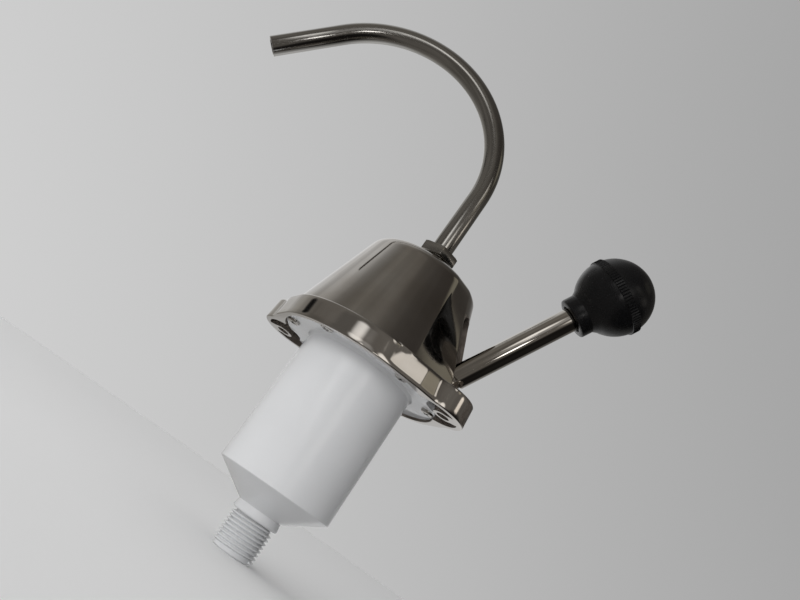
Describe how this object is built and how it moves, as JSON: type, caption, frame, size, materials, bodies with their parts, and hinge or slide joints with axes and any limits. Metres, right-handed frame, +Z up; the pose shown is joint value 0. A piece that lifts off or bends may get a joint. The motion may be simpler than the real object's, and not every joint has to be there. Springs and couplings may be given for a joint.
{
  "type": "galley hand pump",
  "caption": "Counter-top galley hand pump: domed flanged housing, ball-knob lever, swivel swan-neck spout, and a piston cylinder with a threaded inlet below the counter.",
  "frame": {"origin": "on the pump's vertical axis, in the plane of the flange's underside, which rests on the counter", "axes": "+Z up along the pump's axis, +X towards the lever, +Y to the left of the lever seen from behind the pump"},
  "size_m": [0.2428, 0.1053, 0.282],
  "materials": {
    "chrome": "polished",
    "steel": "satin",
    "brass": "machined",
    "white_plastic": "glossy",
    "black_plastic": "satin",
    "rubber": "matte"
  },
  "bodies": {
    "base": {"housing": "chrome", "outlet_fitting": "brass", "outlet_locknut": "brass", "gland_nut": "steel", "spout_ferrule": "brass", "spout_seal": "rubber", "riser_seal": "rubber", "cylinder_flange": "white_plastic", "cylinder": "white_plastic", "cylinder_end_cap": "white_plastic", "inlet_tail": "white_plastic", "plate_screw_1": "steel", "plate_screw_2": "steel", "plate_screw_3": "steel", "plate_screw_4": "steel", "plate_screw_5": "steel", "plate_screw_6": "steel", "rod_guide": "white_plastic", "guide_seal": "rubber", "rod_seal": "rubber", "rod_seal_retainer": "brass", "guide_screw_1": "steel", "guide_screw_2": "steel", "guide_screw_3": "steel", "foot_valve_cage": "brass", "pivot_pin": "steel", "pivot_set_screw": "steel"},
    "lever": {"lever_yoke": "chrome", "lever_rod": "chrome", "knob": "black_plastic", "knob_insert": "brass", "yoke_pin_left": "steel", "yoke_pin_right": "steel"},
    "piston": {"piston_rod": "brass", "crosshead": "brass", "crosshead_set_screw": "steel", "delivery_valve_stop": "brass", "piston_plate": "white_plastic", "piston_cup": "rubber", "piston_clamp_plate": "white_plastic", "piston_nut": "brass"},
    "spout": {"spout_tube": "steel"},
    "delivery_valve": {"delivery_valve_disc": "rubber"},
    "foot_valve": {"foot_valve_disc": "rubber"}
  },
  "joints": [
    {"name": "lever_hinge", "type": "hinge", "parent": "base", "child": "lever", "pos_m": [0.0382, 0, 0.0095], "axis": [0, -1, 0], "range_deg": [0, 31]},
    {"name": "piston_slide", "type": "slide", "parent": "base", "child": "piston", "axis": [0, 0, 1], "range_m": [-0.0205, 0]},
    {"name": "spout_swivel", "type": "hinge", "parent": "base", "child": "spout", "pos_m": [0, 0, 0.07], "axis": [0, 0, 1], "continuous": true},
    {"name": "delivery_valve_lift", "type": "slide", "parent": "piston", "child": "delivery_valve", "axis": [0, 0, 1], "range_m": [0, 0.0019]},
    {"name": "foot_valve_lift", "type": "slide", "parent": "base", "child": "foot_valve", "axis": [0, 0, 1], "range_m": [0, 0.0019]}
  ],
  "couplings": [
    {"joint": "piston_slide", "follows": "lever_hinge", "m_per_rad": -0.037707}
  ]
}
